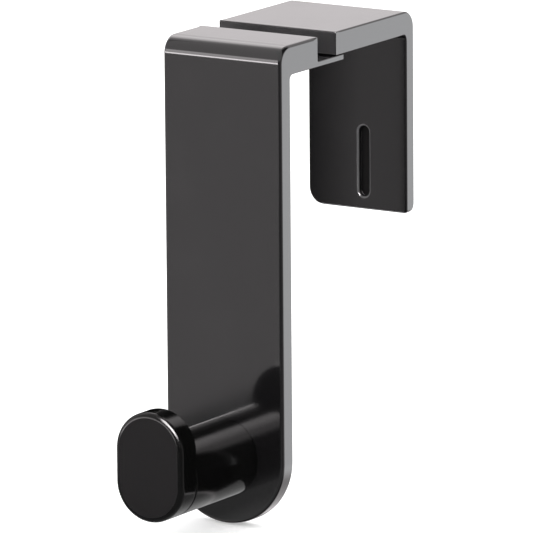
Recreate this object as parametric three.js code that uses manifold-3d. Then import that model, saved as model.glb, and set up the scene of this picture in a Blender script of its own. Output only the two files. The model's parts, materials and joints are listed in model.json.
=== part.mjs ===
// Adjustable hook that hangs over the top edge of a panel, such as an office partition.
// Millimetres. +X is to the right seen from the peg's side, +Y runs to the panel's far side, +Z is up.
// The origin is the middle of the seat, the flat underside that rests on the panel's top edge.
import * as THREE from "three";
import { mergeVertices } from "three/addons/utils/BufferGeometryUtils.js";
import Module from "manifold-3d";

const wasm = await Module();
wasm.setup();

// ---- driving dimensions ----

const WIDTH = 39;
const TOP_Z = 8.6;
const SMALL_ROUND = 0.6;

// Front bracket: plate, top block and sliding tongue.
const FRONT_FACE_Y = -20;
const PLATE_THICKNESS = 5.3;
const PLATE_BACK_Y = FRONT_FACE_Y + PLATE_THICKNESS;
const PLATE_BOTTOM_Z = -130.1;
const SHOULDER_RADIUS = 5;
const INNER_CORNER_RADIUS = 1.5;
const BLOCK_REAR_Y = 0;
const TONGUE_END_Y = 13.8;
const TONGUE_TOP_Z = 1.6;

// Rear bracket: top bar and rear plate, drawn with the hook opened for a 62 mm panel.
const BAR_FRONT_Y = 9.5;
const BAR_UNDERSIDE_Z = 1.8;
const REAR_FACE_Y = 52.1;
const LEG_THICKNESS = 4.4;
const LEG_INNER_Y = REAR_FACE_Y - LEG_THICKNESS;
const LEG_BOTTOM_Z = -50.5;
const LEG_LEFT_INSET = 5.9;
const LEG_SHOULDER_RADIUS = 2;
const LEG_FREE_CORNER_RADIUS = 5;
const LEG_TIGHT_CORNER_RADIUS = 1.2;
const LEG_BACK_BOTTOM_RADIUS = 3;
const GRIP_SLOT = { x: 5, width: 4.8, length: 22, depth: 1.7, aboveBottom: 3.1 };

// Slide between the two brackets.
const TRAVEL_CLOSING = 9;
const TRAVEL_OPENING = 4;
const BLADE_WIDTH = 23.4;
const BLADE_TOP_Z = 4.7;
const BLADE_END_Y = 36.6;
const LEDGE_THICKNESS = 1.2;
const LEDGE_UNDERSIDE_Z = BLADE_TOP_Z - LEDGE_THICKNESS;
const CHANNEL_WIDTH = 24;
const CHANNEL_CEILING_Z = 4.9;
const CHANNEL_END_Y = 45.9;
const CLAMP_SCREW_X = 6;
const CLAMP_SCREW_Y = 26.8;
const NARROW_SLOT_WIDTH = 3.6;
const WIDE_SLOT_WIDTH = 6.6;
const SLOT_SPARE = 0.2;

// Screws and washers.
const SCREW_RADIUS = 1.5;
const SCREW_HOLE_RADIUS = 1.7;
const HARDWARE_GAP = 0.1;
const CLAMP_WASHER = { outer: 3, inner: 1.7, thickness: 0.5 };
const CLAMP_HEAD = { radius: 2.7, height: 1 };
const CLAMP_SHANK_TOP_Z = 7.3;
const CLAMP_HOLE_TOP_Z = 7.5;
const PEG_WASHER = { outer: 3.5, inner: 1.7, thickness: 0.5 };
const PEG_HEAD = { radius: 2.8, height: 2 };
const PEG_COUNTERBORE = { radius: 3.7, depth: 2.9 };

// Peg: hollow post and end cap, the post centred on the plate's round end.
const PEG_BASE_Z = PLATE_BOTTOM_Z + WIDTH / 2;
const PEG_REACH = 39.6;
const KNOB = { width: 22.3, height: 31.5, thickness: 8, round: 1.2, wall: 2.5 };
const POST = { width: 21.9, height: 22.5, wall: 2.6, baseWall: 5 };
const KNOB_RISE = (KNOB.height - POST.height) / 2;
const KNOB_REAR = -PEG_REACH + KNOB.thickness;
const JOINT_GAP = 0.15;
const BASE_GAP = 0.1;
const BOSS_RADIUS = 3.6;
const BOSS_LENGTH = 14;
const PEG_SCREW_DEPTH = 12;
const PILOT_DEPTH = 13;
const PEG_SCREW_SPACING = 11.6;
const SPIGOT_GAP = 0.2;
const SPIGOT_LENGTH = 7;
const SPIGOT_WALL = 2.2;

const BEYOND = 1;
const CURVE_STEPS = 10;
const ROUND_STEPS = 36;

// ---- solids and booleans ----

function toManifold(geometry) {
  const bare = geometry.clone();
  bare.deleteAttribute("normal");
  bare.deleteAttribute("uv");
  const merged = mergeVertices(bare, 1e-4);
  const mesh = new wasm.Mesh({
    numProp: 3,
    vertProperties: new Float32Array(merged.attributes.position.array),
    triVerts: new Uint32Array(merged.index.array),
  });
  return new wasm.Manifold(mesh);
}

function toGeometry(manifold) {
  const mesh = manifold.getMesh();
  const geometry = new THREE.BufferGeometry();
  geometry.setAttribute("position", new THREE.BufferAttribute(new Float32Array(mesh.vertProperties), 3));
  geometry.setIndex(new THREE.BufferAttribute(new Uint32Array(mesh.triVerts), 1));
  const faceted = geometry.toNonIndexed();
  faceted.computeVertexNormals();
  return faceted;
}

function joined(...geometries) {
  return toGeometry(geometries.map(toManifold).reduce((sum, next) => sum.add(next)));
}

function cut(base, ...tools) {
  return toGeometry(tools.map(toManifold).reduce((left, tool) => left.subtract(tool), toManifold(base)));
}

function common(first, second) {
  return toGeometry(toManifold(first).intersect(toManifold(second)));
}

// ---- outlines ----

// A closed outline through corners [u, v, radius], each corner rounded by an arc of its own radius.
function roundedOutline(corners) {
  const shape = new THREE.Shape();
  corners.forEach(([u, v, radius = 0], index) => {
    const corner = new THREE.Vector2(u, v);
    const [previousU, previousV] = corners.at(index - 1);
    const [nextU, nextV] = corners[(index + 1) % corners.length];
    const back = new THREE.Vector2(previousU, previousV).sub(corner).normalize();
    const ahead = new THREE.Vector2(nextU, nextV).sub(corner).normalize();
    const halfAngle = Math.acos(THREE.MathUtils.clamp(back.dot(ahead), -1, 1)) / 2;
    const start = corner.clone().addScaledVector(back, radius / Math.tan(halfAngle));
    if (index === 0) shape.moveTo(start.x, start.y);
    else shape.lineTo(start.x, start.y);
    if (radius === 0) return;
    const end = corner.clone().addScaledVector(ahead, radius / Math.tan(halfAngle));
    const middle = back.clone().add(ahead).normalize();
    const centre = corner.clone().addScaledVector(middle, radius / Math.sin(halfAngle));
    const clockwise = back.cross(ahead) > 0;
    const startAngle = Math.atan2(start.y - centre.y, start.x - centre.x);
    const endAngle = Math.atan2(end.y - centre.y, end.x - centre.x);
    shape.absarc(centre.x, centre.y, radius, startAngle, endAngle, clockwise);
  });
  shape.closePath();
  return shape;
}

function rectangle(lowU, highU, lowV, highV, radius = 0) {
  return roundedOutline([
    [lowU, lowV, radius],
    [highU, lowV, radius],
    [highU, highV, radius],
    [lowU, highV, radius],
  ]);
}

// An upright shape with half-round ends.
function obround(centreU, centreV, width, height) {
  const radius = width / 2;
  const rise = height / 2 - radius;
  const shape = new THREE.Shape();
  shape.absarc(centreU, centreV + rise, radius, 0, Math.PI, false);
  shape.absarc(centreU, centreV - rise, radius, Math.PI, 2 * Math.PI, false);
  shape.closePath();
  return shape;
}

// ---- extrusions along each axis ----

function extruded(shape, depth, options = {}) {
  return new THREE.ExtrudeGeometry(shape, { depth, bevelEnabled: false, curveSegments: CURVE_STEPS, ...options });
}

const PROFILE_TO_FRAME = new THREE.Matrix4().makeBasis(
  new THREE.Vector3(0, 1, 0),
  new THREE.Vector3(0, 0, 1),
  new THREE.Vector3(1, 0, 0),
);
const ELEVATION_TO_FRAME = new THREE.Matrix4().makeBasis(
  new THREE.Vector3(1, 0, 0),
  new THREE.Vector3(0, 0, 1),
  new THREE.Vector3(0, -1, 0),
);

// A side profile in (y, z).
function alongX(profile, lowX, highX) {
  return extruded(profile, highX - lowX).applyMatrix4(PROFILE_TO_FRAME).translate(lowX, 0, 0);
}

// A front outline in (x, z).
function alongY(outline, lowY, highY, options) {
  return extruded(outline, highY - lowY, options).applyMatrix4(ELEVATION_TO_FRAME).translate(0, highY, 0);
}

// A plan in (x, y).
function alongZ(plan, lowZ, highZ) {
  return extruded(plan, highZ - lowZ).translate(0, 0, lowZ);
}

// ---- turned solids ----

function turned(profile) {
  return new THREE.LatheGeometry(profile.map(([radius, height]) => new THREE.Vector2(radius, height)), ROUND_STEPS);
}

// A hole cutter round the Y axis through (x, z).
function boreAlongY(radius, x, z, lowY, highY) {
  return turned([
    [0, lowY],
    [radius, lowY],
    [radius, highY],
    [0, highY],
  ]).translate(x, 0, z);
}

// A hole cutter round the Z axis through (x, y).
function boreAlongZ(radius, x, y, lowZ, highZ) {
  return turned([
    [0, lowZ],
    [radius, lowZ],
    [radius, highZ],
    [0, highZ],
  ]).rotateX(Math.PI / 2).translate(x, y, 0);
}

// A washer round the Y axis, its lower face at height 0.
function washer({ outer, inner, thickness }) {
  return turned([
    [inner, 0],
    [outer, 0],
    [outer, thickness],
    [inner, thickness],
    [inner, 0],
  ]);
}

// A pan-head screw round the Y axis: the head's underside is at height 0 and the shank runs to shankLength.
function screw(head, shankLength) {
  const edge = head.height * 0.35;
  const tip = SCREW_RADIUS * 0.5;
  const body = turned([
    [0, -head.height],
    [head.radius - edge, -head.height],
    [head.radius, -head.height + edge],
    [head.radius, 0],
    [SCREW_RADIUS, 0],
    [SCREW_RADIUS, shankLength - tip],
    [SCREW_RADIUS - tip, shankLength],
    [0, shankLength],
  ]);
  const recessDepth = head.height * 0.6;
  const recessLength = head.radius * 1.1;
  const recessWidth = head.radius * 0.28;
  const bar = new THREE.BoxGeometry(recessLength, 2 * recessDepth, recessWidth);
  const across = bar.clone().rotateY(Math.PI / 2);
  const recess = joined(bar, across).translate(0, -head.height, 0);
  return cut(body, recess);
}

// ---- front bracket ----

function frontBracket() {
  const profile = roundedOutline([
    [FRONT_FACE_Y, PLATE_BOTTOM_Z],
    [FRONT_FACE_Y, TOP_Z, SHOULDER_RADIUS],
    [BLOCK_REAR_Y, TOP_Z, SMALL_ROUND],
    [BLOCK_REAR_Y, TONGUE_TOP_Z],
    [TONGUE_END_Y, TONGUE_TOP_Z],
    [TONGUE_END_Y, 0],
    [PLATE_BACK_Y, 0, INNER_CORNER_RADIUS],
    [PLATE_BACK_Y, PLATE_BOTTOM_Z],
  ]);
  const half = WIDTH / 2;
  const outline = new THREE.Shape();
  outline.moveTo(half, TOP_Z + BEYOND);
  outline.lineTo(-half, TOP_Z + BEYOND);
  outline.absarc(0, PLATE_BOTTOM_Z + half, half, Math.PI, 2 * Math.PI, false);
  outline.closePath();
  const plateAndBlock = common(
    alongX(profile, -half, half),
    alongY(outline, FRONT_FACE_Y - BEYOND, TONGUE_END_Y + BEYOND),
  );

  const bladeHalf = BLADE_WIDTH / 2;
  const blade = alongZ(
    roundedOutline([
      [-bladeHalf, BLOCK_REAR_Y - BEYOND],
      [bladeHalf, BLOCK_REAR_Y - BEYOND],
      [bladeHalf, BLADE_END_Y, 2],
      [-bladeHalf, BLADE_END_Y, 2],
    ]),
    BAR_UNDERSIDE_Z,
    BLADE_TOP_Z,
  );
  const bladeRoot = alongZ(
    rectangle(-bladeHalf, bladeHalf, BLOCK_REAR_Y - BEYOND, TONGUE_END_Y),
    TONGUE_TOP_Z / 2,
    BLADE_TOP_Z,
  );

  const cutters = [];
  const slotMiddleY = CLAMP_SCREW_Y + (TRAVEL_OPENING - TRAVEL_CLOSING) / 2;
  const slotRun = TRAVEL_OPENING + TRAVEL_CLOSING + 2 * SLOT_SPARE;
  for (const x of [-CLAMP_SCREW_X, CLAMP_SCREW_X]) {
    const narrow = obround(x, slotMiddleY, NARROW_SLOT_WIDTH, slotRun + NARROW_SLOT_WIDTH);
    const wide = obround(x, slotMiddleY, WIDE_SLOT_WIDTH, slotRun + WIDE_SLOT_WIDTH);
    cutters.push(alongZ(narrow, BAR_UNDERSIDE_Z - BEYOND, BLADE_TOP_Z + BEYOND));
    cutters.push(alongZ(wide, BAR_UNDERSIDE_Z - BEYOND, LEDGE_UNDERSIDE_Z));
  }
  for (const z of pegScrewHeights()) {
    cutters.push(boreAlongY(SCREW_HOLE_RADIUS, 0, z, FRONT_FACE_Y - BEYOND, PLATE_BACK_Y + BEYOND));
    cutters.push(boreAlongY(PEG_COUNTERBORE.radius, 0, z, PLATE_BACK_Y - PEG_COUNTERBORE.depth, PLATE_BACK_Y + BEYOND));
  }
  return cut(joined(plateAndBlock, blade, bladeRoot), ...cutters);
}

// ---- rear bracket ----

function rearBracket() {
  const profile = roundedOutline([
    [BAR_FRONT_Y, TOP_Z, SMALL_ROUND],
    [REAR_FACE_Y, TOP_Z, SHOULDER_RADIUS],
    [REAR_FACE_Y, LEG_BOTTOM_Z, LEG_BACK_BOTTOM_RADIUS],
    [LEG_INNER_Y, LEG_BOTTOM_Z],
    [LEG_INNER_Y, BAR_UNDERSIDE_Z, INNER_CORNER_RADIUS],
    [BAR_FRONT_Y, BAR_UNDERSIDE_Z],
  ]);
  const half = WIDTH / 2;
  const legLeft = -half + LEG_LEFT_INSET;
  const insetTopZ = BAR_UNDERSIDE_Z - INNER_CORNER_RADIUS;
  const outline = roundedOutline([
    [half, TOP_Z + BEYOND],
    [-half, TOP_Z + BEYOND],
    [-half, insetTopZ, LEG_SHOULDER_RADIUS],
    [legLeft, insetTopZ - LEG_LEFT_INSET, LEG_SHOULDER_RADIUS],
    [legLeft, LEG_BOTTOM_Z, LEG_FREE_CORNER_RADIUS],
    [half, LEG_BOTTOM_Z, LEG_TIGHT_CORNER_RADIUS],
  ]);
  const body = common(
    alongX(profile, -half, half),
    alongY(outline, BAR_FRONT_Y - BEYOND, REAR_FACE_Y + BEYOND),
  );

  const channelHalf = CHANNEL_WIDTH / 2;
  const channel = alongZ(
    roundedOutline([
      [-channelHalf, BAR_FRONT_Y - BEYOND],
      [channelHalf, BAR_FRONT_Y - BEYOND],
      [channelHalf, CHANNEL_END_Y, 2],
      [-channelHalf, CHANNEL_END_Y, 2],
    ]),
    BAR_UNDERSIDE_Z - BEYOND,
    CHANNEL_CEILING_Z,
  );
  const gripSlotZ = LEG_BOTTOM_Z + GRIP_SLOT.aboveBottom + GRIP_SLOT.length / 2;
  const gripSlot = alongY(
    obround(GRIP_SLOT.x, gripSlotZ, GRIP_SLOT.width, GRIP_SLOT.length),
    LEG_INNER_Y - BEYOND,
    LEG_INNER_Y + GRIP_SLOT.depth,
  );
  const screwHoles = [-CLAMP_SCREW_X, CLAMP_SCREW_X].map((x) =>
    boreAlongZ(SCREW_HOLE_RADIUS, x, CLAMP_SCREW_Y, BAR_UNDERSIDE_Z, CLAMP_HOLE_TOP_Z),
  );
  return cut(body, channel, gripSlot, ...screwHoles);
}

// ---- peg ----

function pegScrewHeights() {
  return [PEG_BASE_Z - PEG_SCREW_SPACING / 2, PEG_BASE_Z + PEG_SCREW_SPACING / 2];
}

// The peg's own frame has its origin at the middle of the post's base, with the peg running along -Y.
function placedOnPlate(geometry) {
  return geometry.translate(0, FRONT_FACE_Y, PEG_BASE_Z);
}

function pegPost() {
  const front = KNOB_REAR + JOINT_GAP;
  const shell = alongY(obround(0, 0, POST.width, POST.height), front, -BASE_GAP);
  const cavity = alongY(
    obround(0, 0, POST.width - 2 * POST.wall, POST.height - 2 * POST.wall),
    front - BEYOND,
    -POST.baseWall,
  );
  const screwHeights = [-PEG_SCREW_SPACING / 2, PEG_SCREW_SPACING / 2];
  const bosses = screwHeights.map((z) => boreAlongY(BOSS_RADIUS, 0, z, -BOSS_LENGTH, -POST.baseWall / 2));
  const pilots = screwHeights.map((z) => boreAlongY(SCREW_HOLE_RADIUS, 0, z, -PILOT_DEPTH, BEYOND));
  return placedOnPlate(cut(joined(cut(shell, cavity), ...bosses), ...pilots));
}

function pegCap() {
  const round = KNOB.round;
  const roundedBlock = alongY(
    obround(0, KNOB_RISE, KNOB.width - 2 * round, KNOB.height - 2 * round),
    -PEG_REACH + round,
    KNOB_REAR + round,
    { bevelEnabled: true, bevelThickness: round, bevelSize: round, bevelSegments: 4 },
  );
  const front = alongY(rectangle(-WIDTH, WIDTH, -WIDTH, WIDTH), -PEG_REACH - BEYOND, KNOB_REAR);
  const knob = common(roundedBlock, front);
  const spigotWidth = POST.width - 2 * POST.wall - 2 * SPIGOT_GAP;
  const spigotHeight = POST.height - 2 * POST.wall - 2 * SPIGOT_GAP;
  const spigot = alongY(
    obround(0, 0, spigotWidth, spigotHeight),
    KNOB_REAR - BEYOND,
    KNOB_REAR + SPIGOT_LENGTH,
  );
  const core = alongY(
    obround(0, 0, spigotWidth - 2 * SPIGOT_WALL, spigotHeight - 2 * SPIGOT_WALL),
    -PEG_REACH + KNOB.wall,
    KNOB_REAR + SPIGOT_LENGTH + BEYOND,
  );
  return placedOnPlate(cut(joined(knob, spigot), core));
}

// ---- the hook ----

const hook = new THREE.Group();

function add(name, geometry, color, roughness, metalness) {
  const material = new THREE.MeshStandardMaterial({ color, roughness, metalness });
  const mesh = new THREE.Mesh(geometry, material);
  mesh.name = name;
  hook.add(mesh);
  return mesh;
}

const BLACK_MOULDING = [0x1c1c1e, 0.28, 0];
const DARK_CAP = [0x252324, 0.5, 0];
const ZINC_STEEL = [0xb4b6b8, 0.35, 1];

add("front_bracket", frontBracket(), ...BLACK_MOULDING);
add("rear_bracket", rearBracket(), ...BLACK_MOULDING);
add("peg_post", pegPost(), ...BLACK_MOULDING);
add("peg_cap", pegCap(), ...DARK_CAP);

const clampWasherTopZ = LEDGE_UNDERSIDE_Z - HARDWARE_GAP;
const clampHeadTopZ = clampWasherTopZ - CLAMP_WASHER.thickness - HARDWARE_GAP / 2;
for (const [side, x] of [["left", -CLAMP_SCREW_X], ["right", CLAMP_SCREW_X]]) {
  const clampScrew = add(
    `clamp_screw_${side}`,
    screw(CLAMP_HEAD, CLAMP_SHANK_TOP_Z - clampHeadTopZ),
    ...ZINC_STEEL,
  );
  clampScrew.rotation.x = Math.PI / 2;
  clampScrew.position.set(x, CLAMP_SCREW_Y, clampHeadTopZ);
  const clampWasher = add(`clamp_washer_${side}`, washer(CLAMP_WASHER), ...ZINC_STEEL);
  clampWasher.rotation.x = Math.PI / 2;
  clampWasher.position.set(x, CLAMP_SCREW_Y, clampWasherTopZ - CLAMP_WASHER.thickness);
}

const counterboreFloorY = PLATE_BACK_Y - PEG_COUNTERBORE.depth;
const pegWasherY = counterboreFloorY + HARDWARE_GAP / 2;
const pegHeadY = pegWasherY + PEG_WASHER.thickness + HARDWARE_GAP / 2;
const [lowerZ, upperZ] = pegScrewHeights();
for (const [place, z] of [["lower", lowerZ], ["upper", upperZ]]) {
  const pegScrew = add(`peg_screw_${place}`, screw(PEG_HEAD, pegHeadY - FRONT_FACE_Y + PEG_SCREW_DEPTH), ...ZINC_STEEL);
  pegScrew.rotation.x = Math.PI;
  pegScrew.position.set(0, pegHeadY, z);
  const pegWasher = add(`peg_washer_${place}`, washer(PEG_WASHER), ...ZINC_STEEL);
  pegWasher.position.set(0, pegWasherY, z);
}

export default hook;
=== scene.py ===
"""Looks for the adjustable panel hook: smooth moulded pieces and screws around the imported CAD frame."""

import json
import math

import bmesh
import bpy
from mathutils import Matrix, Vector


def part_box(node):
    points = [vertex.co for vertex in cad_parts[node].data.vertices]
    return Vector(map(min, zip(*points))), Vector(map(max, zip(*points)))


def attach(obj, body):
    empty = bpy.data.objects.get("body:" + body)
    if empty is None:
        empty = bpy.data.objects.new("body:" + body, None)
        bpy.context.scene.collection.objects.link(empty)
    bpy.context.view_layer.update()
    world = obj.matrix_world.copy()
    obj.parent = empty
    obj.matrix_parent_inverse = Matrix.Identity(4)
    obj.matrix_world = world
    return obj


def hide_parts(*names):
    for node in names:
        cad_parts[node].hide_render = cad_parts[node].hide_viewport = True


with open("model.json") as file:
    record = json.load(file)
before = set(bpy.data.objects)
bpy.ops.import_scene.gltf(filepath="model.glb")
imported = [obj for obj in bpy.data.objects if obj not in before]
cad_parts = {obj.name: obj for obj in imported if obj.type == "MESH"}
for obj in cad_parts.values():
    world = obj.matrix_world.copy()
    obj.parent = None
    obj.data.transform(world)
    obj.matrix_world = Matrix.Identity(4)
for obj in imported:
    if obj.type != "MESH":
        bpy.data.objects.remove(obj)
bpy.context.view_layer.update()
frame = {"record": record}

MM = 0.001


def box_mm(node):
    low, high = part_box(node)
    return low / MM, high / MM


def mount_mm(name):
    mounts = {mount["name"]: mount for mount in frame["record"]["mounts"]}
    return Vector(mounts[name]["pos_m"]) / MM


# ---- sizes in millimetres; the outer ones come from the CAD boxes and the mounts ----

FRONT_LOW, FRONT_HIGH = box_mm("front_bracket")
REAR_LOW, REAR_HIGH = box_mm("rear_bracket")
HALF_WIDTH = FRONT_HIGH.x
TOP_Z = FRONT_HIGH.z
FRONT_FACE_Y = FRONT_LOW.y
PLATE_BOTTOM_Z = FRONT_LOW.z
PLATE_BACK_Y = mount_mm("front_plate_back").y
BLADE_END_Y = FRONT_HIGH.y
BAR_FRONT_Y = REAR_LOW.y
REAR_FACE_Y = REAR_HIGH.y
LEG_INNER_Y = mount_mm("rear_plate_inner").y
LEG_BOTTOM_Z = REAR_LOW.z

SHOULDER_RADIUS = 5
INNER_CORNER_RADIUS = 1.5
BLOCK_REAR_Y = 0
TONGUE_END_Y = 13.8
TONGUE_TOP_Z = 1.6
BAR_UNDERSIDE_Z = 1.8
LEG_LEFT_INSET = 5.9
LEG_FREE_CORNER_RADIUS = 5
LEG_TIGHT_CORNER_RADIUS = 1.2
LEG_BACK_BOTTOM_RADIUS = 2.8
LEG_INNER_BOTTOM_RADIUS = 0.7
SLOT_X = 5
SLOT_WIDTH = 4.8
SLOT_LENGTH = 22
SLOT_DEPTH = 1.7
SLOT_ABOVE_BOTTOM = 3.1
SLOT_LIP = 0.6

FILLET = 1.0
REAR_FILLET = 0.6
BACK_FILLET = 0.3
CRISP = 0.3
THIN_EDGE = 0.25
FILLET_STEPS = 6

BLADE_HALF = 11.7
BLADE_TOP_Z = 4.7
LEDGE_UNDERSIDE_Z = 3.5
CHANNEL_HALF = 12
CHANNEL_CEILING_Z = 4.9
CHANNEL_END_Y = 45.9
CLAMP_SCREW_X = 6
CLAMP_SCREW_Y = 26.8
SLIDE_SLOT_MIDDLE_Y = 24.3
SLIDE_SLOT_RUN = 13.4
NARROW_SLOT_WIDTH = 3.6
WIDE_SLOT_WIDTH = 6.6
SCREW_HOLE_RADIUS = 1.7
CLAMP_HOLE_TOP_Z = 7.5
COUNTERBORE_RADIUS = 3.7
COUNTERBORE_DEPTH = 2.9
CLAMP_HEAD_HEIGHT = 1
PEG_HEAD_HEIGHT = 2
SHANK_RADIUS = 1.5
CLAMP_THREAD_PITCH = 1.0
PEG_THREAD_PITCH = 1.3
WASHER_HOLE_RADIUS = 1.7

PEG_BASE_Z = PLATE_BOTTOM_Z + HALF_WIDTH
PEG_REACH = 39.6
KNOB_WIDTH = 22.3
KNOB_HEIGHT = 31.5
KNOB_THICKNESS = 8
KNOB_FRONT_ROUND = 1.5
KNOB_REAR_ROUND = 0.9
KNOB_WALL = 2.5
POST_WIDTH = 21.9
POST_HEIGHT = 22.5
POST_WALL = 2.6
POST_BASE_WALL = 5
POST_LIP = 0.35
KNOB_RISE = (KNOB_HEIGHT - POST_HEIGHT) / 2
KNOB_REAR = -PEG_REACH + KNOB_THICKNESS
JOINT_GAP = 0.15
BASE_GAP = 0.1
BOSS_RADIUS = 3.6
BOSS_LENGTH = 14
PILOT_DEPTH = 13
PEG_SCREW_SPACING = 11.6
SPIGOT_GAP = 0.2
SPIGOT_LENGTH = 7
SPIGOT_WALL = 2.2

# How far a cutting solid reaches past the face it cuts.
BEYOND = 1


# ---- outlines ----


def arc(centre, radius, start, end, steps):
    turn = (end - start) / steps
    angles = [start + turn * step for step in range(steps + 1)]
    return [(centre[0] + radius * math.cos(a), centre[1] + radius * math.sin(a)) for a in angles]


def quarter_turn(steps):
    """Angles from 0 to a right angle in equal steps."""
    return [math.pi / 2 * step / steps for step in range(steps + 1)]


def rounded(corners, closed=True):
    """Corners (u, v, radius, tag), each rounded by an arc; returns the outline's points and their tags."""
    points, tags = [], []
    count = len(corners)
    for index, (u, v, radius, tag) in enumerate(corners):
        end_of_open = not closed and index in (0, count - 1)
        if radius == 0 or end_of_open:
            points.append((u, v))
            tags.append(tag)
            continue
        corner = Vector((u, v))
        back = (Vector(corners[index - 1][:2]) - corner).normalized()
        ahead = (Vector(corners[(index + 1) % count][:2]) - corner).normalized()
        half_angle = back.angle(ahead) / 2
        centre = corner + (back + ahead).normalized() * radius / math.sin(half_angle)
        start = corner + back * radius / math.tan(half_angle) - centre
        end = corner + ahead * radius / math.tan(half_angle) - centre
        start_angle = math.atan2(start.y, start.x)
        turn = math.atan2(end.y, end.x) - start_angle
        turn = (turn + math.pi) % (2 * math.pi) - math.pi
        steps = max(6, round(abs(turn) * math.sqrt(radius) * 5))
        for point in arc(centre, radius, start_angle, start_angle + turn, steps):
            points.append(point)
            tags.append(tag)
    return points, tags


def rectangle(u_low, u_high, v_low, v_high):
    return [(u_low, v_low), (u_high, v_low), (u_high, v_high), (u_low, v_high)]


def obround(centre_u, centre_v, width, height, steps=28):
    """An upright outline with half-round ends."""
    radius = width / 2
    rise = height / 2 - radius
    top = arc((centre_u, centre_v + rise), radius, 0, math.pi, steps)
    bottom = arc((centre_u, centre_v - rise), radius, math.pi, 2 * math.pi, steps)
    return top + bottom if rise > 0 else top[:-1] + bottom[:-1]


def signed_area(points):
    following = points[1:] + points[:1]
    return sum(a[0] * b[1] - b[0] * a[1] for a, b in zip(points, following)) / 2


def moved_inward(points, distances, closed=True):
    """Each point moved into the outline by its own distance, along the mitred normal."""
    sign = 1 if signed_area(points) > 0 else -1
    count = len(points)
    moved = []
    for index, (u, v) in enumerate(points):
        normals = []
        for a, b in ((index - 1, index), (index, index + 1)):
            if not closed and (a < 0 or b > count - 1):
                continue
            edge = Vector(points[b % count]) - Vector(points[a % count])
            if edge.length > 1e-9:
                normals.append(Vector((-edge.y, edge.x)).normalized() * sign)
        normal = sum(normals, Vector((0, 0))).normalized()
        stretch = 1 / max(0.3, normal.dot(normals[0]))
        distance = distances[index] * stretch
        moved.append((u + normal.x * distance, v + normal.y * distance))
    return moved


# ---- meshes ----


def skin(mesh, rings, closed):
    """Faces between successive rings of points; returns the rings as vertices."""
    rows = [[mesh.verts.new(point) for point in ring] for ring in rings]
    for lower, upper in zip(rows, rows[1:]):
        count = len(lower)
        for index in range(count if closed else count - 1):
            following = (index + 1) % count
            mesh.faces.new((lower[index], lower[following], upper[following], upper[index]))
    return rows


def solid_from_rings(rings):
    mesh = bmesh.new()
    rows = skin(mesh, rings, closed=True)
    mesh.faces.new(rows[0])
    mesh.faces.new(rows[-1])
    return as_object("solid", mesh)


def as_object(name, mesh):
    bmesh.ops.remove_doubles(mesh, verts=mesh.verts, dist=1e-4)
    bmesh.ops.recalc_face_normals(mesh, faces=mesh.faces)
    data = bpy.data.meshes.new(name)
    mesh.to_mesh(data)
    mesh.free()
    piece = bpy.data.objects.new(name, data)
    bpy.context.scene.collection.objects.link(piece)
    return piece


def applied(piece):
    graph = bpy.context.evaluated_depsgraph_get()
    data = bpy.data.meshes.new_from_object(piece.evaluated_get(graph))
    old = piece.data
    piece.modifiers.clear()
    piece.data = data
    bpy.data.meshes.remove(old)
    return piece


def combined(piece, operation, *tools):
    for tool in tools:
        modifier = piece.modifiers.new("combine", "BOOLEAN")
        modifier.operation = operation
        modifier.solver = "EXACT"
        modifier.object = tool
        applied(piece)
        bpy.data.objects.remove(tool)
    return piece


def along_y(points, y):
    return [(u, y, v) for u, v in points]


def along_z(points, z):
    return [(u, v, z) for u, v in points]


def prism(points, low, high, axis=along_y):
    return solid_from_rings([axis(points, low), axis(points, high)])


def widened(points, distance):
    return moved_inward(points, [-distance] * len(points))


def pocket(points, face, depth, axis=along_y, way=1, lip=0.25, toe=0.25):
    """A cutter for a blind hole from a face, with a rounded lip, a slight taper and a rounded floor."""
    mouth_flare = 7 * lip
    taper = 0.05
    rings = [axis(widened(points, mouth_flare), face - way * BEYOND)]
    first = math.radians(10)
    for step in range(5):
        angle = first + (math.pi / 2 - first) * step / 4
        outward = lip * (1 - math.sin(angle))
        rings.append(axis(widened(points, outward), face + way * lip * (1 - math.cos(angle))))
    for angle in quarter_turn(4):
        inward = taper + toe * (1 - math.cos(angle))
        rings.append(axis(widened(points, -inward), face + way * (depth - toe + toe * math.sin(angle))))
    return solid_from_rings(rings)


def placed_on_plate(piece):
    """From the peg's own frame, whose origin is the middle of the post's base, to the hook's frame."""
    piece.data.transform(Matrix.Translation((0, FRONT_FACE_Y, PEG_BASE_Z)))
    return piece


def finished(piece, name, body, nodes, materials, smooth_below=38):
    """Scale to metres, shade, name and hand the piece to the frame."""
    mesh = bmesh.new()
    mesh.from_mesh(piece.data)
    bmesh.ops.remove_doubles(mesh, verts=mesh.verts, dist=2e-4)
    bmesh.ops.dissolve_limit(
        mesh, angle_limit=math.radians(0.2), verts=mesh.verts, edges=mesh.edges, delimit={"MATERIAL"}
    )
    bmesh.ops.recalc_face_normals(mesh, faces=mesh.faces)
    bmesh.ops.scale(mesh, vec=(MM, MM, MM), verts=mesh.verts)
    mesh.to_mesh(piece.data)
    mesh.free()
    piece.data.materials.clear()
    for material in materials:
        piece.data.materials.append(material)
    for face in piece.data.polygons:
        face.use_smooth = True
    piece.data.set_sharp_from_angle(angle=math.radians(smooth_below))
    weighted = piece.modifiers.new("weighted", "WEIGHTED_NORMAL")
    weighted.keep_sharp = True
    weighted.weight = 100
    applied(piece)
    piece.name = name
    piece.data.name = name
    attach(piece, body)
    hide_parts(*nodes)
    return piece


# ---- brackets ----


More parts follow.
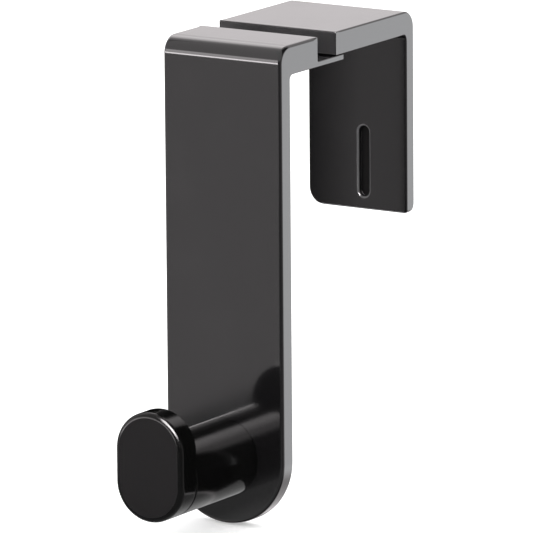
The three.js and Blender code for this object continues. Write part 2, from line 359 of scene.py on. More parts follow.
def section(x_low, x_high, y_low, y_high, z, fillet):
    """A level rounded rectangle: its front side from left to right, then its back from right to left."""
    fillet = min(fillet, 0.45 * (y_high - y_low))
    angles = quarter_turn(FILLET_STEPS)
    left = [(x_low + fillet * (1 - math.sin(a)), fillet * (1 - math.cos(a))) for a in reversed(angles)]
    right = [(x_high - fillet * (1 - math.sin(a)), fillet * (1 - math.cos(a))) for a in angles]
    front = [(x, y_low + inset, z) for x, inset in left + right]
    back = [(x, y_high - inset, z) for x, inset in reversed(left + right)]
    return front + back


def folded_rings(profile, fillets, half_width):
    """An open side profile swept across the width, its edges rounded by each point's own fillet."""
    rings = []
    angles = quarter_turn(FILLET_STEPS)
    for side, ordered in ((-1, reversed(angles)), (1, angles)):
        for angle in ordered:
            inset = [fillet * (1 - math.cos(angle)) for fillet in fillets]
            points = moved_inward(profile, inset, closed=False)
            reach = [half_width - fillet * (1 - math.sin(angle)) for fillet in fillets]
            rings.append([(side * x, u, v) for x, (u, v) in zip(reach, points)])
    return rings


def add_folded_part(mesh, corners, half_width):
    profile, fillets = rounded(corners, closed=False)
    rows = skin(mesh, folded_rings(profile, fillets, half_width), closed=False)
    mesh.faces.new(rows[0])
    mesh.faces.new(rows[-1])


def add_round_ended_plate(mesh, top_z):
    """The plate's lower part: straight sides and a half-round end, with both rims rounded."""
    centre = (0, PLATE_BOTTOM_Z + HALF_WIDTH)
    round_end = arc(centre, HALF_WIDTH, math.pi, 2 * math.pi, 72)
    outline = [(-HALF_WIDTH, top_z)] + round_end + [(HALF_WIDTH, top_z)]
    angles = quarter_turn(FILLET_STEPS)
    rims = [(FILLET * (1 - math.sin(a)), FRONT_FACE_Y + FILLET * (1 - math.cos(a))) for a in angles]
    rims += [
        (BACK_FILLET * (1 - math.sin(a)), PLATE_BACK_Y - BACK_FILLET * (1 - math.cos(a)))
        for a in reversed(angles)
    ]
    rings = []
    for inset, y in rims:
        points = moved_inward(outline, [inset] * len(outline), closed=False)
        rings.append(along_y(points, y))
    rows = skin(mesh, rings, closed=False)
    mesh.faces.new(rows[0])
    mesh.faces.new(rows[-1])


def front_bracket_shape():
    split_z = -40
    mesh = bmesh.new()
    add_folded_part(
        mesh,
        [
            (FRONT_FACE_Y, split_z, 0, FILLET),
            (FRONT_FACE_Y, TOP_Z, SHOULDER_RADIUS, FILLET),
            (BLOCK_REAR_Y - 2.4, TOP_Z, 0, FILLET),
            (BLOCK_REAR_Y - 1.0, TOP_Z, 0, 0.4),
            (BLOCK_REAR_Y, TOP_Z, 0.4, CRISP),
            (BLOCK_REAR_Y, TONGUE_TOP_Z, 0.4, CRISP),
            (TONGUE_END_Y, TONGUE_TOP_Z, 0.3, THIN_EDGE),
            (TONGUE_END_Y, 0, 0.3, THIN_EDGE),
            (BLOCK_REAR_Y - 2, 0, 0, CRISP),
            (PLATE_BACK_Y + 3, 0, 0, 0.4),
            (PLATE_BACK_Y, 0, INNER_CORNER_RADIUS, BACK_FILLET),
            (PLATE_BACK_Y, split_z, 0, BACK_FILLET),
        ],
        HALF_WIDTH,
    )
    add_round_ended_plate(mesh, split_z)
    body = as_object("front", mesh)

    blade_outline, _ = rounded([
        (-BLADE_HALF, BLOCK_REAR_Y - BEYOND, 0, 0),
        (BLADE_HALF, BLOCK_REAR_Y - BEYOND, 0, 0),
        (BLADE_HALF, BLADE_END_Y, 2, 0),
        (-BLADE_HALF, BLADE_END_Y, 2, 0),
    ])
    blade = solid_from_rings([
        along_z(widened(blade_outline, -THIN_EDGE), BAR_UNDERSIDE_Z),
        along_z(blade_outline, BAR_UNDERSIDE_Z + THIN_EDGE),
        along_z(blade_outline, BLADE_TOP_Z - THIN_EDGE),
        along_z(widened(blade_outline, -THIN_EDGE), BLADE_TOP_Z),
    ])
    root_end_y = TONGUE_END_Y - 0.35
    root_outline = rectangle(-BLADE_HALF, BLADE_HALF, BLOCK_REAR_Y - 2 * BEYOND, root_end_y)
    root = prism(root_outline, TONGUE_TOP_Z / 2, BLADE_TOP_Z - 2 * THIN_EDGE, along_z)
    combined(body, "UNION", root, blade)

    for x in (-CLAMP_SCREW_X, CLAMP_SCREW_X):
        narrow = obround(x, SLIDE_SLOT_MIDDLE_Y, NARROW_SLOT_WIDTH, SLIDE_SLOT_RUN + NARROW_SLOT_WIDTH)
        wide = obround(x, SLIDE_SLOT_MIDDLE_Y, WIDE_SLOT_WIDTH, SLIDE_SLOT_RUN + WIDE_SLOT_WIDTH)
        through = prism(narrow, BAR_UNDERSIDE_Z - BEYOND, BLADE_TOP_Z + BEYOND, along_z)
        recess = pocket(wide, BAR_UNDERSIDE_Z, LEDGE_UNDERSIDE_Z - BAR_UNDERSIDE_Z, along_z, toe=0.1)
        combined(body, "DIFFERENCE", through, recess)
    for z in peg_screw_heights():
        hole = obround(0, z, 2 * SCREW_HOLE_RADIUS, 2 * SCREW_HOLE_RADIUS)
        counterbore = obround(0, z, 2 * COUNTERBORE_RADIUS, 2 * COUNTERBORE_RADIUS)
        through = prism(hole, FRONT_FACE_Y - BEYOND, PLATE_BACK_Y + BEYOND)
        recess = pocket(counterbore, PLATE_BACK_Y, COUNTERBORE_DEPTH, way=-1, lip=0.3, toe=0.2)
        combined(body, "DIFFERENCE", through, recess)
    return body


def corner_inset(height, radius):
    """How far a corner of that radius stands back at a height above its lowest point."""
    below = max(0, radius - height)
    return radius - math.sqrt(radius * radius - below * below)


def rear_bracket_shape():
    split_z = 0.2
    mesh = bmesh.new()
    add_folded_part(
        mesh,
        [
            (LEG_INNER_Y, split_z, 0, REAR_FILLET),
            (LEG_INNER_Y, BAR_UNDERSIDE_Z, INNER_CORNER_RADIUS, 0.5),
            (LEG_INNER_Y - 4, BAR_UNDERSIDE_Z, 0, 0.4),
            (BAR_FRONT_Y, BAR_UNDERSIDE_Z, 0.3, THIN_EDGE),
            (BAR_FRONT_Y, TOP_Z, 0.4, CRISP),
            (BAR_FRONT_Y + 1.2, TOP_Z, 0, 0.4),
            (BAR_FRONT_Y + 2.6, TOP_Z, 0, REAR_FILLET),
            (REAR_FACE_Y, TOP_Z, SHOULDER_RADIUS, REAR_FILLET),
            (REAR_FACE_Y, split_z, 0, REAR_FILLET),
        ],
        HALF_WIDTH,
    )
    sections = []
    turn_in_end_z = split_z - LEG_LEFT_INSET
    turn_in_steps = 12
    for step in range(turn_in_steps + 1):
        share = step / turn_in_steps
        shift = LEG_LEFT_INSET * (share * share * (3 - 2 * share))
        z = split_z + (turn_in_end_z - split_z) * share
        sections.append(section(shift - HALF_WIDTH, HALF_WIDTH, LEG_INNER_Y, REAR_FACE_Y, z, REAR_FILLET))
    heights = set()
    radii = (LEG_FREE_CORNER_RADIUS, LEG_BACK_BOTTOM_RADIUS, LEG_TIGHT_CORNER_RADIUS, LEG_INNER_BOTTOM_RADIUS)
    for radius, steps in zip(radii, (14, 10, 7, 5)):
        heights |= {round(radius * (1 - math.cos(angle)), 4) for angle in quarter_turn(steps)}
    for height in sorted(heights, reverse=True):
        free, back, tight, inner = (corner_inset(height, radius) for radius in radii)
        sections.append(section(
            LEG_LEFT_INSET - HALF_WIDTH + free,
            HALF_WIDTH - tight,
            LEG_INNER_Y + inner,
            REAR_FACE_Y - back,
            LEG_BOTTOM_Z + height,
            REAR_FILLET,
        ))
    rows = skin(mesh, sections, closed=True)
    mesh.faces.new(rows[-1])
    body = as_object("rear", mesh)

    channel_outline, _ = rounded([
        (-CHANNEL_HALF, BAR_FRONT_Y - BEYOND, 0, 0),
        (CHANNEL_HALF, BAR_FRONT_Y - BEYOND, 0, 0),
        (CHANNEL_HALF, CHANNEL_END_Y, 2, 0),
        (-CHANNEL_HALF, CHANNEL_END_Y, 2, 0),
    ])
    channel = prism(channel_outline, BAR_UNDERSIDE_Z - BEYOND, CHANNEL_CEILING_Z, along_z)
    slot_z = LEG_BOTTOM_Z + SLOT_ABOVE_BOTTOM + SLOT_LENGTH / 2
    inner = obround(SLOT_X, slot_z, SLOT_WIDTH - 2 * SLOT_LIP, SLOT_LENGTH - 2 * SLOT_LIP)
    grip_slot = pocket(inner, LEG_INNER_Y, SLOT_DEPTH, lip=SLOT_LIP)
    holes = []
    for x in (-CLAMP_SCREW_X, CLAMP_SCREW_X):
        hole = obround(x, CLAMP_SCREW_Y, 2 * SCREW_HOLE_RADIUS, 2 * SCREW_HOLE_RADIUS)
        holes.append(prism(hole, BAR_UNDERSIDE_Z, CLAMP_HOLE_TOP_Z, along_z))
    return combined(body, "DIFFERENCE", channel, grip_slot, *holes)


# ---- peg ----


def peg_screw_heights():
    return [PEG_BASE_Z - PEG_SCREW_SPACING / 2, PEG_BASE_Z + PEG_SCREW_SPACING / 2]


def post_shape():
    front = KNOB_REAR + JOINT_GAP
    outline = obround(0, 0, POST_WIDTH, POST_HEIGHT, steps=48)
    rings = []
    for angle in quarter_turn(4):
        inset = POST_LIP * (1 - math.sin(angle))
        rings.append(along_y(widened(outline, -inset), front + POST_LIP * (1 - math.cos(angle))))
    rings.append(along_y(outline, -BASE_GAP))
    shell = solid_from_rings(rings)

    inner_width = POST_WIDTH - 2 * POST_WALL
    inner_height = POST_HEIGHT - 2 * POST_WALL
    cavity = prism(obround(0, 0, inner_width, inner_height), front - BEYOND, -POST_BASE_WALL)
    combined(shell, "DIFFERENCE", cavity)
    for z in (-PEG_SCREW_SPACING / 2, PEG_SCREW_SPACING / 2):
        boss = prism(obround(0, z, 2 * BOSS_RADIUS, 2 * BOSS_RADIUS), -BOSS_LENGTH, -POST_BASE_WALL / 2)
        combined(shell, "UNION", boss)
    placed_on_plate(shell)
    for z in peg_screw_heights():
        hole = obround(0, z, 2 * SCREW_HOLE_RADIUS, 2 * SCREW_HOLE_RADIUS)
        combined(shell, "DIFFERENCE", prism(hole, FRONT_FACE_Y - PILOT_DEPTH, FRONT_FACE_Y + BEYOND))
    return shell


def cap_shape():
    outline = obround(0, KNOB_RISE, KNOB_WIDTH, KNOB_HEIGHT, steps=56)
    rings = []
    for angle in quarter_turn(8):
        inset = KNOB_FRONT_ROUND * (1 - math.sin(angle))
        rings.append(along_y(widened(outline, -inset), -PEG_REACH + KNOB_FRONT_ROUND * (1 - math.cos(angle))))
    for angle in quarter_turn(8):
        inset = KNOB_REAR_ROUND * (1 - math.cos(angle))
        rings.append(along_y(widened(outline, -inset), KNOB_REAR - KNOB_REAR_ROUND * (1 - math.sin(angle))))
    knob = solid_from_rings(rings)
    spigot_width = POST_WIDTH - 2 * POST_WALL - 2 * SPIGOT_GAP
    spigot_height = POST_HEIGHT - 2 * POST_WALL - 2 * SPIGOT_GAP
    spigot = prism(
        obround(0, 0, spigot_width, spigot_height), KNOB_REAR - BEYOND, KNOB_REAR + SPIGOT_LENGTH
    )
    core = prism(
        obround(0, 0, spigot_width - 2 * SPIGOT_WALL, spigot_height - 2 * SPIGOT_WALL),
        -PEG_REACH + KNOB_WALL,
        KNOB_REAR + SPIGOT_LENGTH + BEYOND,
    )
    combined(knob, "UNION", spigot)
    combined(knob, "DIFFERENCE", core)
    return placed_on_plate(knob)


# ---- screws and washers ----


def circle(radius, steps=40):
    turn = 2 * math.pi / steps
    return [(radius * math.cos(turn * s), radius * math.sin(turn * s)) for s in range(steps)]


def screw_shape(head_radius, head_height, length, pitch):
    """A pan-head screw along Z: the head's underside at 0, the shank downwards, with a rolled thread."""
    steps = 40
    rings = []
    for angle in quarter_turn(8):
        radius = head_radius * (0.55 + 0.45 * math.sin(angle))
        rings.append(along_z(circle(radius, steps), head_height * (0.3 + 0.7 * math.cos(angle))))
    rings.append(along_z(circle(head_radius, steps), head_height * 0.05))
    rings.append(along_z(circle(head_radius * 0.97, steps), 0))
    core = SHANK_RADIUS * 0.8
    rings.append(along_z(circle(core, steps), 0))
    neck = 0.6
    rows_per_turn = 8
    rows = int((length - neck) / pitch * rows_per_turn)
    for row in range(1, rows + 1):
        z = -neck - (length - neck) * row / rows
        fade = min(1, (length + z) / SHANK_RADIUS)
        ring = []
        for step in range(steps):
            angle = 2 * math.pi * step / steps
            phase = (z / pitch + angle / (2 * math.pi)) % 1
            ridge = max(0, 1 - abs(phase - 0.5) * 4)
            radius = (core + (SHANK_RADIUS - core) * ridge) * (0.35 + 0.65 * fade)
            ring.append((radius * math.cos(angle), radius * math.sin(angle), z))
        rings.append(ring)
    body = solid_from_rings(rings)
    wing, blade, depth = head_radius * 0.55, head_radius * 0.14, head_height * 0.6
    taper = 0.6
    for across_u, across_v in ((wing, blade), (blade, wing)):
        top = rectangle(-across_u, across_u, -across_v, across_v)
        floor = [(u * taper if abs(u) > abs(v) else u, v * taper if abs(v) > abs(u) else v) for u, v in top]
        cutter = solid_from_rings([along_z(floor, head_height - depth), along_z(top, head_height + 0.2)])
        combined(body, "DIFFERENCE", cutter)
    return body


def washer_shape(outer, thickness):
    inner = WASHER_HOLE_RADIUS
    edge = thickness * 0.2
    profile = [
        (inner + edge, 0),
        (outer - edge, 0),
        (outer, edge),
        (outer, thickness - edge),
        (outer - edge, thickness),
        (inner + edge, thickness),
        (inner, thickness - edge),
        (inner, edge),
    ]
    mesh = bmesh.new()
    rings = [along_z(circle(radius, 48), z) for radius, z in profile]
    skin(mesh, rings + rings[:1], closed=True)
    return as_object("washer", mesh)


# ---- materials ----


class Graph:
    """A short way to make linked shader nodes."""

    def __init__(self, tree):
        self.tree = tree
        tree.nodes.clear()

    def node(self, kind, settings=None, **inputs):
        made = self.tree.nodes.new(kind)
        for key, value in (settings or {}).items():
            setattr(made, key, value)
        for key, value in inputs.items():
            self.plug(value, made.inputs[key.replace("_", " ")])
        return made

    def plug(self, value, socket):
        if isinstance(value, bpy.types.NodeSocket):
            self.tree.links.new(value, socket)
        else:
            socket.default_value = value

    def math(self, operation, *values, clamp=False):
        made = self.node("ShaderNodeMath", {"operation": operation, "use_clamp": clamp})
        for value, socket in zip(values, made.inputs):
            self.plug(value, socket)
        return made.outputs[0]

    def span(self, value, low, high, to_low, to_high, smooth=False):
        kind = "SMOOTHSTEP" if smooth else "LINEAR"
        made = self.node("ShaderNodeMapRange", {"interpolation_type": kind, "clamp": True})
        for value, name in zip(
            (value, low, high, to_low, to_high), ("Value", "From Min", "From Max", "To Min", "To Max")
        ):
            self.plug(value, made.inputs[name])
        return made.outputs[0]


def new_material(name):
    material = bpy.data.materials.new(name)
    material.use_nodes = True
    return material, Graph(material.node_tree)


def noise(graph, place, scale, detail=2.0, roughness=0.5):
    made = graph.node("ShaderNodeTexNoise", Scale=scale, Detail=detail, Roughness=roughness)
    graph.plug(place, made.inputs["Vector"])
    return made.outputs["Fac"]


def moulded_black(name, base, gloss, grain, haze, specular=0.5):
    """Moulded plastic: near-black pigment, faint orange peel, fine grain, handling haze and rubbed edges."""
    material, graph = new_material(name)
    place = graph.node("ShaderNodeTexCoord").outputs["Object"]
    cloud = noise(graph, place, 60, 3, 0.6)
    haze_mask = graph.span(cloud, 0.45, 0.75, 0, 1, smooth=True)
    peel = noise(graph, place, 420, 2)
    fine = noise(graph, place, 3200, 1)
    edge = graph.node("ShaderNodeNewGeometry").outputs["Pointiness"]
    rubbed = graph.span(edge, 0.52, 0.6, 0, 1)
    colour = graph.node("ShaderNodeMix", {"data_type": "RGBA"})
    tint = graph.math("MULTIPLY", graph.span(fine, 0.3, 0.7, 0, 1), 0.6)
    mixing = graph.math("ADD", tint, graph.math("MULTIPLY", rubbed, 0.4), clamp=True)
    graph.plug(mixing, colour.inputs[0])
    graph.plug((*base, 1), colour.inputs[6])
    graph.plug((base[0] * 1.5, base[1] * 1.5, base[2] * 1.5, 1), colour.inputs[7])
    rough = graph.math("ADD", gloss, graph.math("MULTIPLY", haze_mask, haze))
    rough = graph.math("ADD", rough, graph.math("MULTIPLY", rubbed, 0.05))
    relief = graph.math("ADD", graph.math("MULTIPLY", peel, 0.5), graph.math("MULTIPLY", fine, grain))
    bump = graph.node("ShaderNodeBump", Strength=0.35, Distance=0.00002)
    graph.plug(relief, bump.inputs["Height"])
    shader = graph.node("ShaderNodeBsdfPrincipled", IOR=1.5, Specular_IOR_Level=specular)
    graph.plug(colour.outputs[2], shader.inputs["Base Color"])
    graph.plug(rough, shader.inputs["Roughness"])
    graph.plug(bump.outputs["Normal"], shader.inputs["Normal"])
    output = graph.node("ShaderNodeOutputMaterial")
    graph.plug(shader.outputs[0], output.inputs["Surface"])
    return material


def zinc_plate(name):
    """Bright zinc plating: metal with fine turning lines and a faint blotchy passivation."""
    material, graph = new_material(name)
    place = graph.node("ShaderNodeTexCoord").outputs["Object"]
    blotch = noise(graph, place, 500, 3, 0.6)
    colour = graph.node("ShaderNodeMix", {"data_type": "RGBA"})
    graph.plug(blotch, colour.inputs[0])
    graph.plug((0.52, 0.53, 0.55, 1), colour.inputs[6])
    graph.plug((0.7, 0.7, 0.69, 1), colour.inputs[7])
    lines = noise(graph, place, 6000, 1)
    bump = graph.node("ShaderNodeBump", Strength=0.4, Distance=0.00002)
    graph.plug(lines, bump.inputs["Height"])
    shader = graph.node("ShaderNodeBsdfPrincipled", Metallic=1.0)
    graph.plug(colour.outputs[2], shader.inputs["Base Color"])
    graph.plug(graph.span(blotch, 0.3, 0.7, 0.24, 0.38), shader.inputs["Roughness"])
    graph.plug(bump.outputs["Normal"], shader.inputs["Normal"])
    output = graph.node("ShaderNodeOutputMaterial")
    graph.plug(shader.outputs[0], output.inputs["Surface"])
    return material


# ---- the pieces ----

black = moulded_black("black_moulded_plastic", (0.0042, 0.0040, 0.0043), 0.08, 0.12, 0.03)
deep_black = moulded_black("deep_black_peg", (0.0015, 0.0015, 0.0015), 0.14, 0.1, 0.04, specular=0.12)
# Painted shade: the walls facing into the gap between the brackets get this duller, rougher copy of the
# plastic, set to the gap's level of shade.
gap_wall_shade = moulded_black("gap_wall_painted_shade", (0.0075, 0.0073, 0.0077), 0.5, 0.5, 0.05, specular=0.33)
# Painted shade: the grip slot's walls and floor get this darker, less reflective copy of the plastic, so the
# slot reads black inside.
slot_floor_shade = moulded_black("slot_floor_painted_shade", (0.002, 0.002, 0.002), 0.5, 0.5, 0.05, specular=0.1)
# Painted highlight: the grip slot's lip gets this much lighter copy of the plastic, standing in for the light
# its rim catches.
slot_lip_highlight = moulded_black("slot_lip_painted_highlight", (0.085, 0.083, 0.085), 0.3, 0.3, 0.05)
glossy_round = moulded_black("glossy_cap_round", (0.0015, 0.0015, 0.0015), 0.16, 0.1, 0.04, specular=0.17)
satin = moulded_black("satin_cap_face", (0.0043, 0.0040, 0.0042), 0.42, 0.6, 0.06, specular=0.05)
zinc = zinc_plate("zinc_plated_steel")


def paint(piece, choose):
    """Sets each face's material number by a rule on its middle, in millimetres, and its normal."""
    for face in piece.data.polygons:
        face.material_index = choose(face.center / MM, face.normal)


# Painted shade: the block's rear face, which faces into the gap, gets the gap-shade copy of the plastic (1).
def front_bracket_gap_shade(middle, normal):
    at_block_rear = abs(middle.y - BLOCK_REAR_Y) < 0.05
    return 1 if at_block_rear and normal.y > 0.99 else 0


# Painted light on the rear bracket: shade on the bar's front face in the gap (1), shade on the grip slot's
# walls and floor (2), and a highlight on the slot's lip (3).
def rear_bracket_shade_and_highlight(middle, normal):
    below_face = middle.y - LEG_INNER_Y
    from_slot_middle = abs(middle.x - SLOT_X)
    if middle.y < BAR_FRONT_Y + 0.05 and normal.y < -0.99:
        return 1
    if SLOT_LIP < below_face < SLOT_DEPTH + 0.1 and from_slot_middle <= SLOT_WIDTH / 2 and middle.z < 0:
        return 2
    in_lip = 0.02 < below_face < SLOT_LIP and normal.y < -0.1
    if in_lip and from_slot_middle < SLOT_WIDTH / 2 + 0.2 and middle.z < -20:
        return 3
    return 0


def cap_finish(middle, normal):
    before_round = middle.y < FRONT_FACE_Y - PEG_REACH + KNOB_FRONT_ROUND
    if before_round and normal.y < -0.999:
        return 1
    if before_round and normal.y < -0.1:
        return 2
    return 0


front = finished(
    front_bracket_shape(), "front_bracket_moulding", "front_assembly",
    ["front_bracket"], [black, gap_wall_shade],
)
paint(front, front_bracket_gap_shade)
rear = finished(
    rear_bracket_shape(), "rear_bracket_moulding", "rear_assembly",
    ["rear_bracket"], [black, gap_wall_shade, slot_floor_shade, slot_lip_highlight],
)
paint(rear, rear_bracket_shade_and_highlight)
finished(post_shape(), "peg_post_moulding", "front_assembly", ["peg_post"], [deep_black])
cap = finished(
    cap_shape(), "peg_cap_moulding", "front_assembly",
    ["peg_cap"], [deep_black, satin, glossy_round],
)
paint(cap, cap_finish)


def hardware(shape, name, body, turned):
    """A screw or washer moved onto its CAD node's centre line and end."""
    shape.data.transform(turned)
    return finished(shape, name + "_detail", body, [name], [zinc], smooth_below=30)


upside_down = Matrix.Rotation(math.pi, 4, "X")
for side in ("left", "right"):
    low, high = box_mm(f"clamp_screw_{side}")
    centre = (low + high) / 2
    length = high.z - low.z - CLAMP_HEAD_HEIGHT
    shape = screw_shape((high.x - low.x) / 2, CLAMP_HEAD_HEIGHT, length, CLAMP_THREAD_PITCH)
    place = Matrix.Translation((centre.x, centre.y, low.z + CLAMP_HEAD_HEIGHT)) @ upside_down
    hardware(shape, f"clamp_screw_{side}", "rear_assembly", place)
    low, high = box_mm(f"clamp_washer_{side}")
    centre = (low + high) / 2
    ring = washer_shape((high.x - low.x) / 2, high.z - low.z)
    hardware(ring, f"clamp_washer_{side}", "rear_assembly", Matrix.Translation((centre.x, centre.y, low.z)))

along_depth = Matrix.Rotation(-math.pi / 2, 4, "X")
for position in ("lower", "upper"):
    low, high = box_mm(f"peg_screw_{position}")
    centre = (low + high) / 2
    length = high.y - low.y - PEG_HEAD_HEIGHT
    shape = screw_shape((high.x - low.x) / 2, PEG_HEAD_HEIGHT, length, PEG_THREAD_PITCH)
    place = Matrix.Translation((centre.x, high.y - PEG_HEAD_HEIGHT, centre.z)) @ along_depth
    hardware(shape, f"peg_screw_{position}", "front_assembly", place)
    low, high = box_mm(f"peg_washer_{position}")
    centre = (low + high) / 2
    ring = washer_shape((high.x - low.x) / 2, high.y - low.y)
    place = Matrix.Translation((centre.x, low.y, centre.z)) @ along_depth
    hardware(ring, f"peg_washer_{position}", "front_assembly", place)


# ---- floor, light and camera ----


def pale_floor():
    """A white sheet, lit a little from below, that the part stands on; reflections see the studio instead."""
    reach = 4.0
    z = PLATE_BOTTOM_Z * MM - 0.0003
    mesh = bmesh.new()
    bmesh.ops.create_grid(mesh, x_segments=2, y_segments=2, size=reach)
    data = bpy.data.meshes.new("floor")
    mesh.to_mesh(data)
    mesh.free()
    floor = bpy.data.objects.new("floor", data)
    floor.location.z = z
    bpy.context.scene.collection.objects.link(floor)
    material, graph = new_material("pale_floor")
    paper = graph.node("ShaderNodeBsdfDiffuse", Color=(0.93, 0.93, 0.93, 1))
    lit_from_below = graph.node("ShaderNodeEmission", Color=(1, 1, 1, 1), Strength=0.3)
    both = graph.node("ShaderNodeAddShader")
    graph.plug(paper.outputs[0], both.inputs[0])
    graph.plug(lit_from_below.outputs[0], both.inputs[1])
    output = graph.node("ShaderNodeOutputMaterial")
    graph.plug(both.outputs[0], output.inputs["Surface"])
    data.materials.append(material)
    floor.visible_glossy = False


def studio_world():
    """Even white light for the floor; in reflections, a tent of soft panels set by compass and height."""
    world = bpy.data.worlds.new("studio")
    bpy.context.scene.world = world
    world.use_nodes = True
    graph = Graph(world.node_tree)
    way = graph.node("ShaderNodeTexCoord").outputs["Generated"]
    split = graph.node("ShaderNodeSeparateXYZ")
    graph.plug(way, split.inputs[0])
    height = graph.math("ARCSINE", split.outputs["Z"])

    def panel(compass, half_width, low, high, soft, strength):
        """One soft panel; angles in degrees, compass counted from +X towards +Y."""
        turn = math.radians(compass)
        ahead = graph.node("ShaderNodeVectorMath", {"operation": "DOT_PRODUCT"})
        across = graph.node("ShaderNodeVectorMath", {"operation": "DOT_PRODUCT"})
        for made, direction in (
            (ahead, (math.cos(turn), math.sin(turn), 0)),
            (across, (-math.sin(turn), math.cos(turn), 0)),
        ):
            graph.plug(way, made.inputs[0])
            graph.plug(direction, made.inputs[1])
        aside = graph.math("ABSOLUTE", graph.math("ARCTAN2", across.outputs["Value"], ahead.outputs["Value"]))
        edges = [math.radians(a) for a in (half_width - soft, half_width + soft)]
        wide = graph.span(aside, edges[0], edges[1], 1, 0, smooth=True)
        lows = [math.radians(a) for a in (low - soft, low + soft)]
        highs = [math.radians(a) for a in (high - soft, high + soft)]
        above = graph.span(height, lows[0], lows[1], 0, 1, smooth=True)
        below = graph.span(height, highs[0], highs[1], 1, 0, smooth=True)
        shape = graph.math("MULTIPLY", wide, graph.math("MULTIPLY", above, below))
        return graph.math("MULTIPLY", shape, strength)

    right_strength = 3.7
    right_panel = panel(57, 26, -24, 6, 6, right_strength)  # low, seen by the right-hand faces
    others = [
        panel(-123, 40, -50, -7, 1.2, 1.15),  # floor that the front face sees
        panel(-125, 28, -5.5, 1, 1.5, 18),    # bright seam above it
        panel(-125, 26, 1, 16, 2, 4.5),       # wall above the seam
        panel(150, 95, 6, 95, 4, 1.4),        # overhead, behind and to the left
        panel(140, 38, 22, 55, 5, 1.3),       # soft box behind, low
        panel(140, 34, 35, 54, 4, 2.0),       # and its bright middle
        panel(125, 38, -12, 4, 3, 1.5),       # backdrop that the top faces see
        panel(96, 40, -60, -24, 6, 1.3),      # floor behind
        panel(92, 14, -28, -2, 6, 0.9),       # and the wall above it
        panel(180, 35, -30, 2, 5, 0.3),       # low panel to the left
        panel(10, 18, -30, 20, 8, 0.8),       # faint fill to the right
        panel(-40, 30, -40, 20, 8, 0.25),     # and to the front right
        panel(-60, 55, 8, 34, 5, 0.4),        # wall in front
        panel(-70, 26, 32, 76, 5, 64),        # light above the front
        panel(-46, 22, 26, 52, 5, 54),        # and one further right
    ]
    darkest = 0.03
    total = graph.math("ADD", darkest, right_panel)
    for made in others:
        total = graph.math("ADD", total, made)
    right_side = graph.math("DIVIDE", right_panel, 4.0, clamp=True)
    tint = graph.node("ShaderNodeMix", {"data_type": "RGBA"})
    graph.plug(right_side, tint.inputs[0])
    graph.plug((1.0, 0.955, 0.965, 1), tint.inputs[6])
    graph.plug((0.97, 0.98, 1.0, 1), tint.inputs[7])
    reflected = graph.node("ShaderNodeBackground")
    graph.plug(tint.outputs[2], reflected.inputs["Color"])
    graph.plug(total, reflected.inputs["Strength"])
    even = graph.node("ShaderNodeBackground", Color=(1, 1, 1, 1), Strength=1.6)
    glossy = graph.node("ShaderNodeLightPath").outputs["Is Glossy Ray"]
    choose = graph.node("ShaderNodeMixShader")
    graph.plug(glossy, choose.inputs[0])
    graph.plug(even.outputs[0], choose.inputs[1])
    graph.plug(reflected.outputs[0], choose.inputs[2])
    output = graph.node("ShaderNodeOutputWorld")
    graph.plug(choose.outputs[0], output.inputs["Surface"])


def flag(name, corner, across, up, solid_sides=(1, 1), shade=0.0, one_sided=False):
    """A card seen only in reflections, black or lit; solid_sides gives how solid it is at its two sides."""
    mesh = bpy.data.meshes.new(name)
    start, across, up = Vector(corner) * MM, Vector(across) * MM, Vector(up) * MM
    mesh.from_pydata([start, start + across, start + across + up, start + up], [], [(0, 1, 2, 3)])
    piece = bpy.data.objects.new(name, mesh)
    bpy.context.scene.collection.objects.link(piece)
    piece.visible_camera = False
    piece.visible_diffuse = False
    piece.visible_shadow = False
    piece.visible_transmission = False
    material, graph = new_material(name)
    place = graph.node("ShaderNodeTexCoord").outputs["Object"]
    along = graph.node("ShaderNodeVectorMath", {"operation": "DOT_PRODUCT"})
    graph.plug(place, along.inputs[0])
    graph.plug(across.normalized(), along.inputs[1])
    first = start.dot(across.normalized())
    solid = graph.span(along.outputs["Value"], first, first + across.length, *solid_sides)
    if one_sided:
        back = graph.node("ShaderNodeNewGeometry").outputs["Backfacing"]
        solid = graph.math("MULTIPLY", solid, graph.math("SUBTRACT", 1.0, back))
    cover = graph.node("ShaderNodeEmission", Color=(1, 1, 1, 1), Strength=shade)
    through = graph.node("ShaderNodeBsdfTransparent")
    blend = graph.node("ShaderNodeMixShader")
    graph.plug(solid, blend.inputs[0])
    graph.plug(through.outputs[0], blend.inputs[1])
    graph.plug(cover.outputs[0], blend.inputs[2])
    output = graph.node("ShaderNodeOutputMaterial")
    graph.plug(blend.outputs[0], output.inputs["Surface"])
    mesh.materials.append(material)


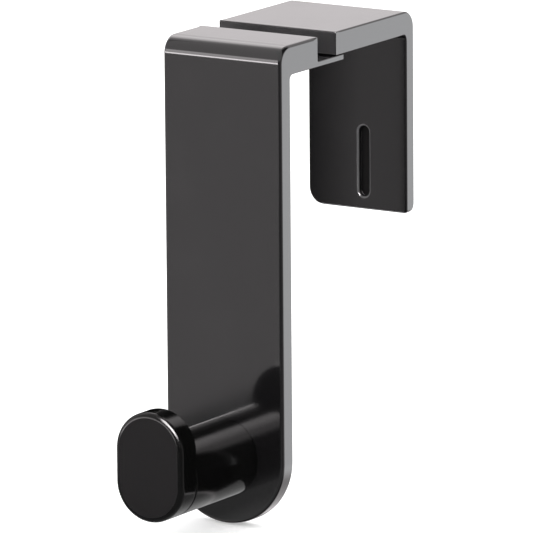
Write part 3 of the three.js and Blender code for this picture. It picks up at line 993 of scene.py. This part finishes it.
def studio_flags():
    """Cards that only reflections show, around the plate, the peg and the shoulder's corner.

    A card without a shade is black, and a shade makes it glow at that strength.
    """
    plane_y = FRONT_FACE_Y + 0.5
    floor_z = PLATE_BOTTOM_Z - 0.2
    side = HALF_WIDTH + 0.15
    flag("flag_right", (side, plane_y, floor_z), (70, 0, 0), (0, 0, 70))
    flag("flag_corner", (6, plane_y, floor_z), (side - 6, 0, 0), (0, 0, 19))
    flag("flag_left", (-side - 60, plane_y, floor_z), (60, 0, 0), (0, 0, 60))
    flag("flag_beyond_left", (-150, plane_y, floor_z + 61), (92.4, 0, 0), (0, 0, 100), (0.97, 0.97))
    flag("flag_far_left", (-57.5, plane_y, floor_z + 61), (20, 0, 0), (0, 0, 100), (0.97, 0.37))
    flag("flag_veil_left", (-37.5, plane_y, floor_z + 61), (17.8, 0, 0), (0, 0, 100), (0.37, 0.37))
    flag("flag_floor", (-85, -500, floor_z), (145, 0, 0), (0, 478, 0), shade=0.4)
    behind_peg = (-15, FRONT_FACE_Y - 0.6, floor_z)
    flag("card_under_peg", behind_peg, (28, 0, 0), (0, 0, 11), shade=0.55, one_sided=True)
    flag("card_floor_left", (-8, -62, floor_z + 0.1), (13, 0, 0), (0, 40.4, 0), (0, 1), shade=0.85)
    flag("card_floor_right", (5, -62, floor_z + 0.1), (12, 0, 0), (0, 40.4, 0), (1, 0), shade=0.85)
    flag("card_above_corner", (14, -46, 12), (34, 0, 0), (0, 27, 0), shade=1.3)


def photo_camera():
    """Front right, a little above, from far enough that the upright edges stay nearly parallel."""
    azimuth, elevation, roll = math.radians(32.31), math.radians(11.78), math.radians(0.45)
    distance = 2.27582
    target = Vector((0.00184, 0, -0.05911))
    ahead = Vector((
        -math.sin(azimuth) * math.cos(elevation),
        math.cos(azimuth) * math.cos(elevation),
        -math.sin(elevation),
    ))
    level_right = Vector((math.cos(azimuth), math.sin(azimuth), 0))
    level_up = level_right.cross(ahead)
    right = math.cos(roll) * level_right - math.sin(roll) * level_up
    up = math.cos(roll) * level_up + math.sin(roll) * level_right
    turned = Matrix((right, up, -ahead)).transposed().to_4x4()
    data = bpy.data.cameras.new("camera")
    data.sensor_width = 36
    data.lens = 541.5
    data.clip_end = 20
    camera = bpy.data.objects.new("camera", data)
    camera.matrix_world = Matrix.Translation(target - ahead * distance) @ turned
    bpy.context.scene.collection.objects.link(camera)
    bpy.context.scene.camera = camera


pale_floor()
studio_world()
studio_flags()
photo_camera()
bpy.context.scene.view_settings.view_transform = "Standard"
